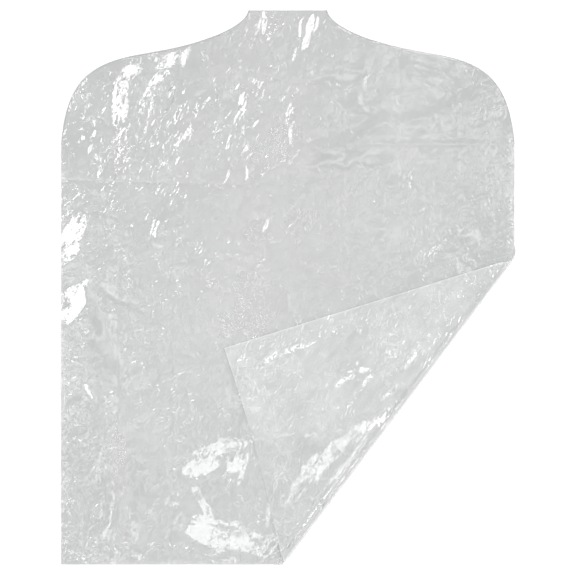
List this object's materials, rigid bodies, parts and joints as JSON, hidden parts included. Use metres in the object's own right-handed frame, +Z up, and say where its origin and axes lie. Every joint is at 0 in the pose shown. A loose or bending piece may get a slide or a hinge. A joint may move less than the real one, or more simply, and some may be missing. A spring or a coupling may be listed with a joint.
{
  "type": "disposable barber cape",
  "caption": "Clear film salon cape cut to a bell shape with a neck stub, welded along neck and shoulders, laid flat with one hem corner folded over.",
  "frame": {"origin": "middle of the flat cape's outline, on the surface that it lies on", "axes": "+X across the cape, +Y from the hem to the neck, +Z up from the surface"},
  "size_m": [1.143, 1.397, 0.0115],
  "materials": {
    "back_film": "clear glossy polyethylene film, crumpled",
    "front_film": "clear glossy polyethylene film, crumpled",
    "weld_bead": "fused film edge, translucent"
  },
  "bodies": {
    "cape_panel": {"back_panel": "back_film", "front_panel": "front_film"},
    "hem_corner": {"back_hem_corner": "back_film", "front_hem_corner": "front_film"},
    "yoke": {"back_yoke": "back_film", "front_yoke": "front_film", "shoulder_weld_left": "weld_bead", "shoulder_weld_right": "weld_bead"},
    "collar": {"back_collar": "back_film", "front_collar": "front_film", "neck_weld_left": "weld_bead", "neck_weld_right": "weld_bead"}
  },
  "joints": [
    {"name": "corner_fold", "type": "hinge", "parent": "cape_panel", "child": "hem_corner", "pos_m": [-0.012, -0.6985, 0.00575], "axis": [0.6027, 0.798, 0], "range_deg": [0, 180]},
    {"name": "yoke_fold", "type": "hinge", "parent": "cape_panel", "child": "yoke", "pos_m": [0, 0.27, 0.008], "axis": [1, 0, 0], "range_deg": [0, 170]},
    {"name": "collar_turn_down", "type": "hinge", "parent": "yoke", "child": "collar", "pos_m": [0, 0.64, 0.008], "axis": [1, 0, 0], "range_deg": [0, 170]}
  ]
}
